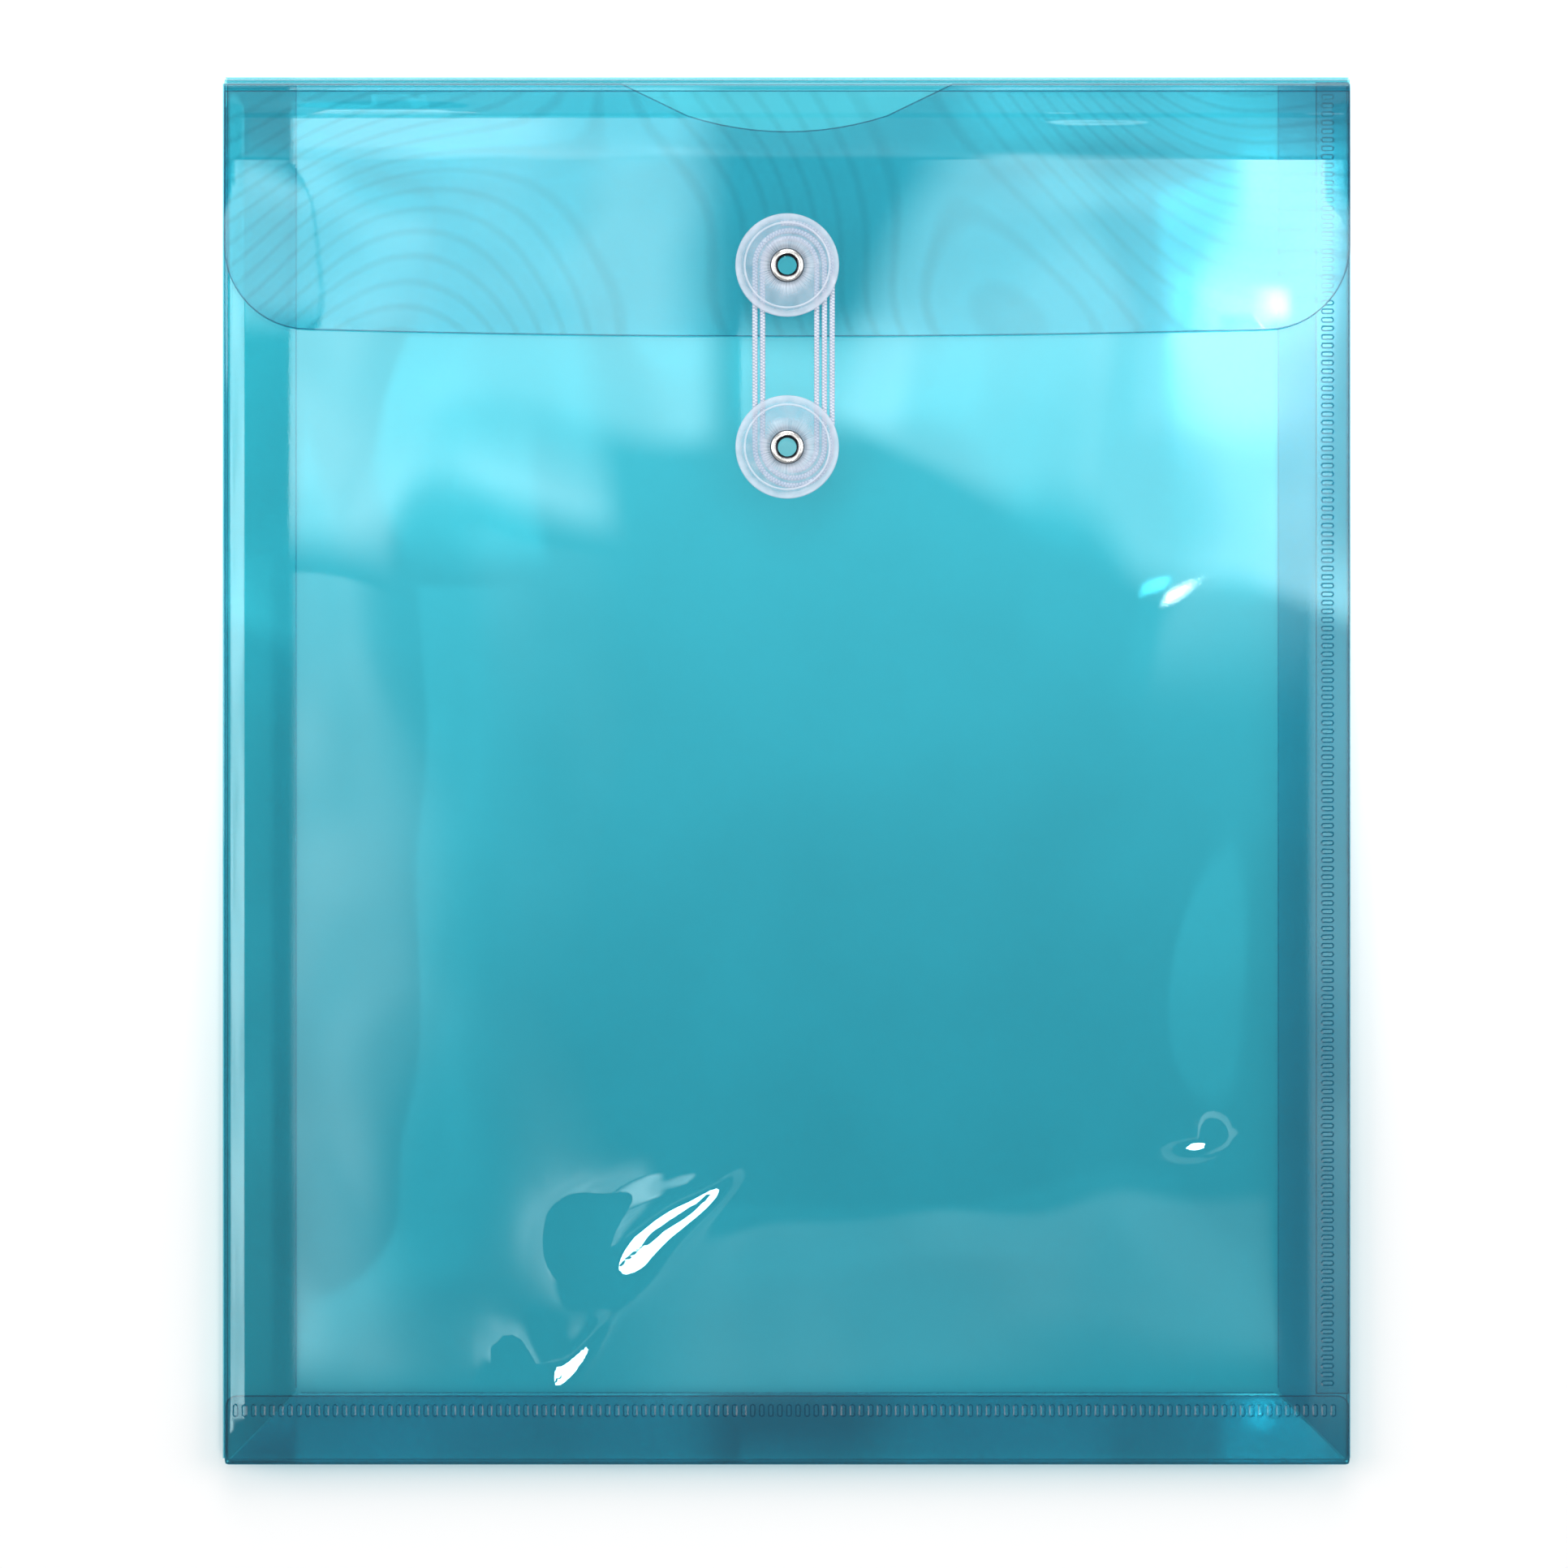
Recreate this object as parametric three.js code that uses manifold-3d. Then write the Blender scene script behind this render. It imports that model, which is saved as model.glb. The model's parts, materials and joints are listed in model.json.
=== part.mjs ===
// String-tie envelope of clear aqua film, lying on its back panel, closed and tied.
// Millimetres. +X is right, +Y runs up the envelope to the folded top, +Z comes out of the front.
// The origin is the centre of the outline, on the face that the envelope lies on.
import * as THREE from 'three';
import { mergeVertices } from 'three/addons/utils/BufferGeometryUtils.js';
import Module from 'manifold-3d';

const wasm = await Module();
wasm.setup();

// Outline and film
const bodyWidth = 248;
const bodyHeight = 306;
const film = 0.25;
const plyGap = 0.08;
const bottomCornerRadius = 1;
const frontSetback = 1.6;

// Folded-in gussets, and how far the empty pocket springs open by itself
const gussetDepth = 15.6;
const restAngle = THREE.MathUtils.degToRad(9);
const mitreGap = 0.25;

// Thumb notch in the front panel's top edge
const notchHalfMouth = 36.5;
const notchHalfShoulder = 22;
const notchShoulderDrop = 7;
const notchDepth = 10.5;

// Flap and the rounded fold that carries it
const flapLength = 57.5;
const flapCornerRadius = 18.5;
const flapEdgeBow = 1.5;
const flapGap = 1.6;
const flapHingeSetback = 3.1;
const flapHingeGap = 0.1;
const firstScoreDrop = 8.7;
const secondScoreDrop = 17.9;
const firstStripTilt = THREE.MathUtils.degToRad(5);
const secondStripTilt = THREE.MathUtils.degToRad(2);
const scoreWidth = 0.8;
const scoreDepth = 0.12;
const foldRadius = 2;
const lipRadius = 1;
const lipHeight = 4;
const spineInset = 0.3;
const spineClearance = 3.25;
const panelJoint = 0.1;

// Weld tabs under the front panel
const sideTabWidth = 7.5;
const sideTabRise = 0.3;
const bottomTabWidth = 15.2;
const tabCornerRadius = 2.5;
const tabEdgeInset = 0.15;
const tabJoint = 0.3;

// Rows of slots that the welding horn presses into the front panel over the tabs
const slotLength = 3.05;
const slotWidth = 1.25;
const slotDepth = 0.1;
const sideSlotPitch = 1.89;
const sideSlotInset = 4.9;
const sideSlotsLow = 12;
const sideSlotsHigh = 2.4;
const bottomSlotPitch = 2;
const bottomSlotRise = 11.9;
const bottomSlotsInset = 2.4;

// Buttons: a dished disc held on the film by a rolled eyelet over a backing washer
const upperButtonDrop = 41.9;
const buttonPitch = 39.9;
const discRadius = 11.4;
const discLift = 0.1;
const bossRadius = 4.1;
const dishFloor = 1.7;
const flangeUnderside = 1.85;
const discHeight = 2.75;
const boreRadius = 2.4;
const tubeRadius = 2.75;
const tubeClearance = 0.15;
const eyeletRadius = 3.75;
const eyeletRoll = 0.8;
const clenchRadius = 3.6;
const clenchRoll = 0.47;
const washerRadius = 5;
const washerThickness = 0.4;
const seatGap = 0.08;
const roundSides = 48;

// String
const cordDiameter = 1.22;
const cordPitch = 1.7;
const cordLift = 0.06;
const cordSides = 8;
const innerLeftRun = 5.4;
const innerRightRun = 6.5;
const halfTurnSteps = 14;
const tailTurn = THREE.MathUtils.degToRad(10);
const lastTurnAngle = THREE.MathUtils.degToRad(95);

// Heights of the layers
const hingeOffset = plyGap / 2;
const rearAxisZ = film + plyGap + film + hingeOffset;
const creaseRise = gussetDepth * Math.sin(restAngle);
const creaseReach = gussetDepth * Math.cos(restAngle);
const frontAxisZ = rearAxisZ + 2 * creaseRise;
const tabUnder = frontAxisZ + hingeOffset + film + plyGap;
const frontUnder = tabUnder + film + plyGap;
const frontTop = frontUnder + film;
const flapUnder = frontTop + flapGap;
const flapTop = flapUnder + film;
const firstScoreTop = flapTop - (secondScoreDrop - firstScoreDrop) * Math.tan(secondStripTilt);
const spineTop = firstScoreTop - (firstScoreDrop - flapHingeSetback) * Math.tan(firstStripTilt);

// Lines across the envelope
const halfWidth = bodyWidth / 2;
const halfHeight = bodyHeight / 2;
const frontEdgeY = halfHeight - frontSetback;
const upperButtonY = halfHeight - upperButtonDrop;
const lowerButtonY = upperButtonY - buttonPitch;
const flapHingeY = halfHeight - flapHingeSetback;
const flapEdgeY = halfHeight - flapLength;
const holeRadius = tubeRadius + tubeClearance;

const filmMaterial = new THREE.MeshStandardMaterial({
  color: 0x5fc9dc,
  roughness: 0.12,
  metalness: 0,
  transparent: true,
  opacity: 0.5,
});
const buttonMaterial = new THREE.MeshStandardMaterial({
  color: 0xd6e8ee,
  roughness: 0.3,
  metalness: 0,
  transparent: true,
  opacity: 0.7,
});
const nickelMaterial = new THREE.MeshStandardMaterial({
  color: 0xc8cacc,
  roughness: 0.15,
  metalness: 1,
});
const cordMaterial = new THREE.MeshStandardMaterial({
  color: 0xe9ebf1,
  roughness: 0.8,
  metalness: 0,
});

const envelope = new THREE.Group();

// Turns a geometry's faces outward, whichever way its profile was drawn
function facingOut(geometry) {
  const bare = new THREE.BufferGeometry();
  bare.setAttribute('position', geometry.getAttribute('position'));
  bare.setIndex(geometry.getIndex());
  const merged = mergeVertices(bare, 1e-4);
  const index = merged.getIndex();
  const corners = merged.getAttribute('position');
  const [a, b, c] = [new THREE.Vector3(), new THREE.Vector3(), new THREE.Vector3()];
  const kept = [];
  let volume = 0;
  for (let i = 0; i < index.count; i += 3) {
    const [p, q, r] = [index.getX(i), index.getX(i + 1), index.getX(i + 2)];
    if (p === q || q === r || r === p) continue;
    kept.push([p, q, r]);
    a.fromBufferAttribute(corners, p);
    b.fromBufferAttribute(corners, q);
    c.fromBufferAttribute(corners, r);
    volume += a.dot(b.cross(c));
  }
  merged.setIndex(kept.flatMap(([p, q, r]) => (volume < 0 ? [p, r, q] : [p, q, r])));
  return merged;
}

function addMesh(parent, name, geometry, material) {
  const mesh = new THREE.Mesh(geometry, material);
  mesh.name = name;
  parent.add(mesh);
  return mesh;
}

function toSolid(geometry) {
  const closed = facingOut(geometry);
  return new wasm.Manifold(new wasm.Mesh({
    numProp: 3,
    vertProperties: new Float32Array(closed.getAttribute('position').array),
    triVerts: new Uint32Array(closed.getIndex().array),
  }));
}

function toGeometry(solid) {
  const mesh = solid.getMesh();
  const geometry = new THREE.BufferGeometry();
  geometry.setAttribute('position', new THREE.BufferAttribute(mesh.vertProperties, 3));
  geometry.setIndex(new THREE.BufferAttribute(mesh.triVerts, 1));
  return geometry;
}

// A flat piece of film cut to an outline, its underside at z
function sheet(outline, z) {
  const options = { depth: film, bevelEnabled: false, curveSegments: 10 };
  return facingOut(new THREE.ExtrudeGeometry(outline, options).translate(0, 0, z));
}

// A closed profile of [y, z] points, run along the envelope's width
function alongWidth(points, width) {
  const profile = new THREE.Shape(points.map(([y, z]) => new THREE.Vector2(y, z)));
  const geometry = new THREE.ExtrudeGeometry(profile, { depth: width, bevelEnabled: false });
  const turn = new THREE.Matrix4().makeBasis(
    new THREE.Vector3(0, 1, 0),
    new THREE.Vector3(0, 0, 1),
    new THREE.Vector3(1, 0, 0),
  );
  return facingOut(geometry.applyMatrix4(turn).translate(-width / 2, 0, 0));
}

// A closed profile of [radius, z] points, turned about the z axis
function turned(points) {
  const profile = [...points, points[0]].map(([r, z]) => new THREE.Vector2(r, z));
  return facingOut(new THREE.LatheGeometry(profile, roundSides).rotateX(Math.PI / 2));
}

function arc(centre, radius, from, to, steps) {
  const points = [];
  for (let i = 0; i <= steps; i += 1) {
    const angle = from + ((to - from) * i) / steps;
    points.push([centre[0] + radius * Math.cos(angle), centre[1] + radius * Math.sin(angle)]);
  }
  return points;
}

function outlineOf(points) {
  return new THREE.Shape(points.map(([x, y]) => new THREE.Vector2(x, y)));
}

function bottomCorners() {
  const inset = halfWidth - bottomCornerRadius;
  const y = bottomCornerRadius - halfHeight;
  return [
    ...arc([-inset, y], bottomCornerRadius, Math.PI, 1.5 * Math.PI, 4),
    ...arc([inset, y], bottomCornerRadius, -0.5 * Math.PI, 0, 4),
  ];
}

function eyeletHole(y) {
  const hole = new THREE.Path();
  hole.absarc(0, y, holeRadius, 0, 2 * Math.PI, true);
  return hole;
}

// Back panel, with the short lip that its film makes where it turns up into the top fold
function backPanel() {
  const top = halfHeight - lipRadius - panelJoint;
  const outline = outlineOf([...bottomCorners(), [halfWidth, top], [-halfWidth, top]]);
  return sheet(outline, 0);
}

function topFoldLip() {
  const start = halfHeight - lipRadius;
  const centre = [start, lipRadius];
  return alongWidth([
    ...arc(centre, lipRadius, -0.5 * Math.PI, 0, 6),
    [halfHeight, lipHeight],
    [halfHeight - film, lipHeight],
    ...arc(centre, lipRadius - film, 0, -0.5 * Math.PI, 6),
  ], bodyWidth);
}

// The fold's upper half: it stands inside the lip and bends over to the flap's score
function topSpine() {
  const outer = halfHeight - film - spineInset;
  const centre = [outer - foldRadius, spineTop - foldRadius];
  return alongWidth([
    [outer, film + spineClearance],
    ...arc(centre, foldRadius, 0, 0.5 * Math.PI, 8),
    [flapHingeY, spineTop],
    [flapHingeY, spineTop - film],
    ...arc(centre, foldRadius - film, 0.5 * Math.PI, 0, 8),
    [outer - film, film + spineClearance],
  ], bodyWidth);
}

// One weld slot: a shallow six-sided recess with pointed ends, long along x before its turn
function weldSlot(x, y, turn) {
  const end = slotLength / 2;
  const flank = end - slotWidth / 3;
  const side = slotWidth / 2;
  const outline = outlineOf([
    [end, 0], [flank, side], [-flank, side], [-end, 0], [-flank, -side], [flank, -side],
  ]);
  const recess = new THREE.ExtrudeGeometry(outline, { depth: 2 * slotDepth, bevelEnabled: false });
  return toSolid(recess.rotateZ(turn).translate(x, y, frontTop - slotDepth));
}

// The side seam's slots lie across its edge, and the bottom seam's stand on theirs
function slotPlaces() {
  const places = [];
  const sideEnd = frontEdgeY - sideSlotsHigh;
  for (let y = -halfHeight + sideSlotsLow + bottomSlotRise / 2; y < sideEnd; y += sideSlotPitch) {
    places.push([halfWidth - sideSlotInset, y, 0]);
  }
  const bottomEnd = halfWidth - bottomSlotsInset;
  for (let x = -bottomEnd; x < bottomEnd; x += bottomSlotPitch) {
    places.push([x, bottomSlotRise - halfHeight, Math.PI / 2]);
  }
  return places;
}

// The notch runs down two slants to its shoulders, and on along one shallow arc
function frontPanel() {
  const sagitta = notchDepth - notchShoulderDrop;
  const radius = (notchHalfShoulder ** 2 + sagitta ** 2) / (2 * sagitta);
  const centre = [0, frontEdgeY - notchDepth + radius];
  const half = Math.asin(notchHalfShoulder / radius);
  const outline = outlineOf([
    ...bottomCorners(),
    [halfWidth, frontEdgeY],
    [notchHalfMouth, frontEdgeY],
    ...arc(centre, radius, -0.5 * Math.PI + half, -0.5 * Math.PI - half, 12),
    [-notchHalfMouth, frontEdgeY],
    [-halfWidth, frontEdgeY],
  ]);
  outline.holes.push(eyeletHole(lowerButtonY));
  const slots = slotPlaces().map(([x, y, turn]) => weldSlot(x, y, turn));
  const panel = toSolid(sheet(outline, frontUnder)).subtract(wasm.Manifold.union(slots));
  return facingOut(toGeometry(panel));
}

function sideSeamTab() {
  const low = -halfHeight + bottomTabWidth + tabJoint;
  const high = frontEdgeY + sideTabRise;
  const outer = halfWidth - tabEdgeInset;
  const inner = halfWidth - sideTabWidth;
  return sheet(outlineOf([[inner, low], [outer, low], [outer, high], [inner, high]]), tabUnder);
}

function bottomSeamTab() {
  const outer = halfWidth - tabEdgeInset;
  const low = -halfHeight + tabEdgeInset;
  const cornerX = outer - tabCornerRadius;
  const cornerY = -halfHeight + bottomTabWidth - tabCornerRadius;
  return sheet(outlineOf([
    [-outer, low],
    [outer, low],
    ...arc([cornerX, cornerY], tabCornerRadius, 0, 0.5 * Math.PI, 6),
    ...arc([-cornerX, cornerY], tabCornerRadius, 0.5 * Math.PI, Math.PI, 6),
  ]), tabUnder);
}

// The flap's outline, with round corners and a slightly bowed lower edge
function flapOutline() {
  const top = flapHingeY - flapHingeGap;
  const cornerY = flapEdgeY + flapEdgeBow + flapCornerRadius;
  const cornerX = halfWidth - flapCornerRadius;
  const bowRadius = (cornerX ** 2 + flapEdgeBow ** 2) / (2 * flapEdgeBow);
  const bowHalf = Math.asin(cornerX / bowRadius);
  const bowCentre = [0, flapEdgeY + bowRadius];
  const outline = outlineOf([
    [-halfWidth, top],
    ...arc([-cornerX, cornerY], flapCornerRadius, Math.PI, 1.5 * Math.PI, 12),
    ...arc(bowCentre, bowRadius, -0.5 * Math.PI - bowHalf, -0.5 * Math.PI + bowHalf, 16).slice(1, -1),
    ...arc([cornerX, cornerY], flapCornerRadius, -0.5 * Math.PI, 0, 12),
    [halfWidth, top],
  ]);
  outline.holes.push(eyeletHole(upperButtonY));
  return outline;
}

// Flap: two scored strips climb from the fold, and the rest lies level over the front
function flapPanel() {
  const bends = [
    [flapHingeY, spineTop],
    [halfHeight - firstScoreDrop, firstScoreTop],
    [halfHeight - secondScoreDrop, flapTop],
    [flapEdgeY - film, flapTop],
  ];
  const under = bends.map(([y, z]) => [y, z - film]).reverse();
  const tall = { depth: 2 * (flapTop - spineTop) + 2 * film, bevelEnabled: false, curveSegments: 10 };
  const cutter = new THREE.ExtrudeGeometry(flapOutline(), tall);
  cutter.translate(0, 0, spineTop - 2 * film);
  let flap = toSolid(alongWidth([...bends, ...under], bodyWidth + 2)).intersect(toSolid(cutter));
  for (const [y, z] of bends.slice(1, 3)) {
    const groove = alongWidth([
      [y - scoreWidth, z + scoreDepth],
      [y, z - scoreDepth],
      [y + scoreWidth, z + scoreDepth],
    ], bodyWidth + 4);
    flap = flap.subtract(toSolid(groove));
  }
  return facingOut(toGeometry(flap));
}

// Half of a gusset: x runs from its first fold to its second, and each end is square or mitred
function gussetHalf(low, high, mitre) {
  const lowEnds = [low + mitre.low[0], low + mitre.low[1]];
  const highEnds = [high - mitre.high[0], high - mitre.high[1]];
  return sheet(outlineOf([
    [0, lowEnds[0]],
    [gussetDepth, lowEnds[1]],
    [gussetDepth, highEnds[1]],
    [0, highEnds[0]],
  ]), -hingeOffset - film);
}

// A gusset is two halves joined at a crease. Its group's x axis points into the envelope.
function addGusset(name, place, turn, low, high, mitred) {
  const outerCut = [mitreGap, mitreGap + gussetDepth];
  const square = [0, 0];
  const rearMitre = { low: mitred.low ? outerCut : square, high: mitred.high ? outerCut : square };
  const frontMitre = {
    low: [...rearMitre.low].reverse(),
    high: [...rearMitre.high].reverse(),
  };
  const side = new THREE.Group();
  side.position.set(place[0], place[1], rearAxisZ);
  side.rotation.z = turn;
  const rear = addMesh(side, `${name}_gusset_rear`, gussetHalf(low, high, rearMitre), filmMaterial);
  rear.rotation.y = -restAngle;
  const crease = new THREE.Group();
  crease.position.set(creaseReach, 0, creaseRise);
  crease.rotation.y = Math.PI + restAngle;
  addMesh(crease, `${name}_gusset_front`, gussetHalf(low, high, frontMitre), filmMaterial);
  side.add(crease);
  envelope.add(side);
}

// Dished disc: a boss stands on the film, and the string runs under the flange around it
function buttonDisc() {
  const rim = 0.35;
  return turned([
    [holeRadius, discLift],
    [bossRadius, discLift],
    [bossRadius + 0.25, flangeUnderside - 0.4],
    [bossRadius + 1.7, flangeUnderside - 0.05],
    [discRadius - 1.8, flangeUnderside],
    [discRadius - rim, flangeUnderside - 0.1],
    ...arc([discRadius - rim, flangeUnderside + rim - 0.1], rim, -0.4 * Math.PI, 0.5 * Math.PI, 5),
    [discRadius - 1.8, discHeight - 0.15],
    [discRadius - 2.05, discHeight],
    [discRadius - 4.8, discHeight - 0.05],
    [discRadius - 5.8, discHeight - 0.25],
    [discRadius - 6.8, discHeight - 0.6],
    [eyeletRadius + 0.2, dishFloor],
    [holeRadius, dishFloor],
  ]);
}

function backingWasher() {
  const high = -film - plyGap;
  const low = high - washerThickness;
  const chamfer = 0.12;
  return turned([
    [holeRadius, low],
    [washerRadius - chamfer, low],
    [washerRadius, low + chamfer],
    [washerRadius, high],
    [holeRadius, high],
  ]);
}

// Rolled eyelet: a tube with a rounded rim over the disc and a clenched rim under the washer
function eyelet() {
  const rimUnder = dishFloor + seatGap;
  const clenchOver = -film - plyGap - washerThickness - seatGap;
  const rimHalf = (eyeletRadius - boreRadius) / 2;
  const clenchHalf = (clenchRadius - boreRadius) / 2;
  const roll = (mid, half, z, height, from, to) => arc([0, 0], 1, from, to, 8)
    .map(([c, s]) => [mid + half * c, z + height * s]);
  return turned([
    [tubeRadius, clenchOver],
    [tubeRadius, rimUnder],
    ...roll(boreRadius + rimHalf, rimHalf, rimUnder, eyeletRoll, 0, Math.PI),
    ...roll(boreRadius + clenchHalf, clenchHalf, clenchOver, clenchRoll, Math.PI, 2 * Math.PI),
  ]);
}

function addButton(prefix, y, z) {
  const button = new THREE.Group();
  button.position.set(0, y, z);
  addMesh(button, `${prefix}_button_disc`, buttonDisc(), buttonMaterial);
  addMesh(button, `${prefix}_eyelet`, eyelet(), nickelMaterial);
  addMesh(button, `${prefix}_backing_washer`, backingWasher(), buttonMaterial);
  envelope.add(button);
}

// The string winds between the two posts: each half turn lies one pitch outside the last,
// and each run climbs from the front panel onto the flap just past the lower disc's rim.
function stringRoute() {
  const lowZ = frontTop + cordLift + cordDiameter / 2;
  const highZ = flapTop + cordLift + cordDiameter / 2;
  const climbStart = lowerButtonY + discRadius + cordDiameter / 2;
  const climbEnd = flapEdgeY - cordDiameter;
  const left = (turn) => -innerLeftRun - turn * cordPitch;
  const right = (turn) => innerRightRun + turn * cordPitch;
  const point = (x, y, z) => new THREE.Vector3(x, y, z);
  const halfTurn = (fromX, toX, y, z, from, to, steps) => {
    const radius = Math.abs(toX - fromX) / 2;
    return arc([(fromX + toX) / 2, y], radius, from, to, steps).map(([x, py]) => point(x, py, z));
  };
  const climb = (x) => [point(x, climbStart, lowZ), point(x, climbEnd, highZ)];
  const quarter = Math.round(halfTurnSteps / 2);
  const under = (turn) => halfTurn(left(turn - 1), right(turn), lowerButtonY, lowZ,
    turn ? Math.PI : 1.5 * Math.PI, 2 * Math.PI, turn ? halfTurnSteps : quarter);
  const over = (turn, to) => halfTurn(right(turn), left(turn), upperButtonY, highZ, 0, to,
    halfTurnSteps);
  const first = under(0);
  const tail = first[0].clone();
  tail.x -= cordDiameter * Math.cos(tailTurn);
  tail.y += cordDiameter * Math.sin(tailTurn);
  const route = [tail];
  for (let turn = 0; turn < 3; turn += 1) {
    route.push(...under(turn), ...climb(right(turn)));
    if (turn < 2) route.push(...over(turn, Math.PI), ...climb(left(turn)).reverse());
    else route.push(...over(turn, lastTurnAngle));
  }
  const end = route.at(-1).clone().sub(route.at(-2)).normalize();
  route.push(route.at(-1).clone().addScaledVector(end, cordDiameter));
  return route;
}

// One unbroken tube of flat-sided rings along a route that never points straight up
function tubeAlong(route, diameter, sides) {
  const up = new THREE.Vector3(0, 0, 1);
  const positions = [];
  const faces = [];
  route.forEach((place, i) => {
    const before = route[Math.max(i - 1, 0)];
    const after = route[Math.min(i + 1, route.length - 1)];
    const along = after.clone().sub(before).normalize();
    const across = along.clone().cross(up).normalize();
    const over = across.clone().cross(along);
    for (let side = 0; side < sides; side += 1) {
      const angle = (2 * Math.PI * (side + 0.5)) / sides;
      const corner = place.clone();
      corner.addScaledVector(across, (diameter / 2) * Math.cos(angle));
      corner.addScaledVector(over, (diameter / 2) * Math.sin(angle));
      positions.push(corner.x, corner.y, corner.z);
    }
  });
  for (let ring = 0; ring + 1 < route.length; ring += 1) {
    for (let side = 0; side < sides; side += 1) {
      const a = ring * sides + side;
      const b = ring * sides + ((side + 1) % sides);
      faces.push(a, b, a + sides, b, b + sides, a + sides);
    }
  }
  const last = (route.length - 1) * sides;
  for (let side = 1; side + 1 < sides; side += 1) {
    faces.push(0, side + 1, side, last, last + side, last + side + 1);
  }
  const geometry = new THREE.BufferGeometry();
  geometry.setAttribute('position', new THREE.Float32BufferAttribute(positions, 3));
  geometry.setIndex(faces);
  return facingOut(geometry);
}

// Least clear space between two stretches of the route, and the route's length
function measureRoute(route, diameter) {
  const spacing = 0.5;
  const samples = [];
  let length = 0;
  for (let i = 0; i + 1 < route.length; i += 1) {
    const step = route[i].distanceTo(route[i + 1]);
    const parts = Math.ceil(step / spacing);
    for (let k = 0; k < parts; k += 1) {
      samples.push({ at: length + (step * k) / parts, place: route[i].clone().lerp(route[i + 1], k / parts) });
    }
    length += step;
  }
  let gap = Infinity;
  for (const one of samples) {
    for (const other of samples) {
      if (other.at - one.at < 5 * diameter) continue;
      gap = Math.min(gap, one.place.distanceTo(other.place) - diameter);
    }
  }
  return { gap, length };
}

addMesh(envelope, 'back_panel', backPanel(), filmMaterial);
addMesh(envelope, 'top_fold_lip', topFoldLip(), filmMaterial);
addMesh(envelope, 'top_spine', topSpine(), filmMaterial);
addMesh(envelope, 'front_panel', frontPanel(), filmMaterial);
addMesh(envelope, 'side_seam_tab', sideSeamTab(), filmMaterial);
addMesh(envelope, 'bottom_seam_tab', bottomSeamTab(), filmMaterial);
addMesh(envelope, 'flap_panel', flapPanel(), filmMaterial);

const bottomOnly = { low: true, high: false };
const topOnly = { low: false, high: true };
const bothEnds = { low: true, high: true };
addGusset('left', [-halfWidth, 0], 0, -halfHeight, frontEdgeY, bottomOnly);
addGusset('right', [halfWidth, 0], Math.PI, -frontEdgeY, halfHeight, topOnly);
addGusset('bottom', [0, -halfHeight], Math.PI / 2, -halfWidth, halfWidth, bothEnds);

addButton('upper', upperButtonY, flapTop);
addButton('lower', lowerButtonY, frontTop);

const route = stringRoute();
const measured = measureRoute(route, cordDiameter);
console.log(`string: length ${measured.length.toFixed(0)} mm, least gap ${measured.gap.toFixed(2)} mm`);
addMesh(envelope, 'string', tubeAlong(route, cordDiameter, cordSides), cordMaterial);

export default envelope;
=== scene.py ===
# String-tie envelope of clear aqua film, lying on a pale floor and seen from straight above.
# The scene is in metres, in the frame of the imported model: +X right, +Y up the envelope,
# +Z out of the front. Shapes are worked out in millimetres and scaled when they become meshes.
import json
import math

import bmesh
import bpy
import numpy as np
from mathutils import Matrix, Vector, geometry, noise
from mathutils.bvhtree import BVHTree


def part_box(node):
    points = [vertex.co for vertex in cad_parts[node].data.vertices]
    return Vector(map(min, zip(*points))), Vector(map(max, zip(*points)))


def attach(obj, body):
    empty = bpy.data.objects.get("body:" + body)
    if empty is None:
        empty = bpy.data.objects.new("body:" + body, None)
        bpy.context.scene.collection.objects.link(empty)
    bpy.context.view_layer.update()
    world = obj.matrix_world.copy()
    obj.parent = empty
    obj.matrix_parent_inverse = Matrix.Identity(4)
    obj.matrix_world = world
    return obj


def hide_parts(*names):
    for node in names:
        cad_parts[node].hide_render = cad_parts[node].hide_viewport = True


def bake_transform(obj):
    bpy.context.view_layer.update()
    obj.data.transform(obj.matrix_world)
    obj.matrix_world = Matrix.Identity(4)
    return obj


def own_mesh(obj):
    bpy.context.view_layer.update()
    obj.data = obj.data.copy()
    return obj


MM = 0.001

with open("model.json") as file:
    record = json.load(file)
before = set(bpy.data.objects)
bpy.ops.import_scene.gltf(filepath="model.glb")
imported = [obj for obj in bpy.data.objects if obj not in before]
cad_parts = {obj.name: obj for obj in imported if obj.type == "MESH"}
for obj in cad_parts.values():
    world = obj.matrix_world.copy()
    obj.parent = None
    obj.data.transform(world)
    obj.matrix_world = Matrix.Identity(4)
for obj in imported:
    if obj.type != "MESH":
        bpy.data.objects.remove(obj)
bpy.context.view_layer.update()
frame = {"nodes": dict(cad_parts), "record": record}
nodes = frame["nodes"]


def box_mm(node):
    """A node's lowest and highest corner, in millimetres."""
    return [np.array(corner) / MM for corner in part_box(node)]


# Camera: straight above, with the outline where the photograph has it
SENSOR_WIDTH = 36
VIEW_WIDTH = 345.7 * MM
VIEW_LEVEL = 6 * MM
CAMERA_HEIGHT = 1.6
CAMERA_OFFSET = (-0.7 * MM, -3.0 * MM)
LENS = SENSOR_WIDTH * (CAMERA_HEIGHT - VIEW_LEVEL) / VIEW_WIDTH

# Lamps overhead, in metres: their height, and the place of the one that the creases mirror
CEILING = 1.5
GLINT_LAMP = (0.25, -0.52)

# Film sheets, in mm: thickness, rounded cut edges and the spacing of their points
FILM = 0.25
EDGE_ROUND = 0.07
EDGE_BAND = 0.3
EDGE_CLEAR = 0.2
GRID = 4.0
FINE_GRID = 0.9
SHARP_FILM = 12

# Pressed weld slots, and score lines below the folded top, in mm
SLOT_DEPTH = 0.1
SLOT_WALL = 0.3
SLOT_CLEAR = 0.3
SLOT_LARGEST = 4.0
SLOT_SLACK = 0.01
SCORE_DROPS = (8.7, 17.9)
SCORE_HALF = 0.4
SCORE_SLOPE = 0.1

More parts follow.
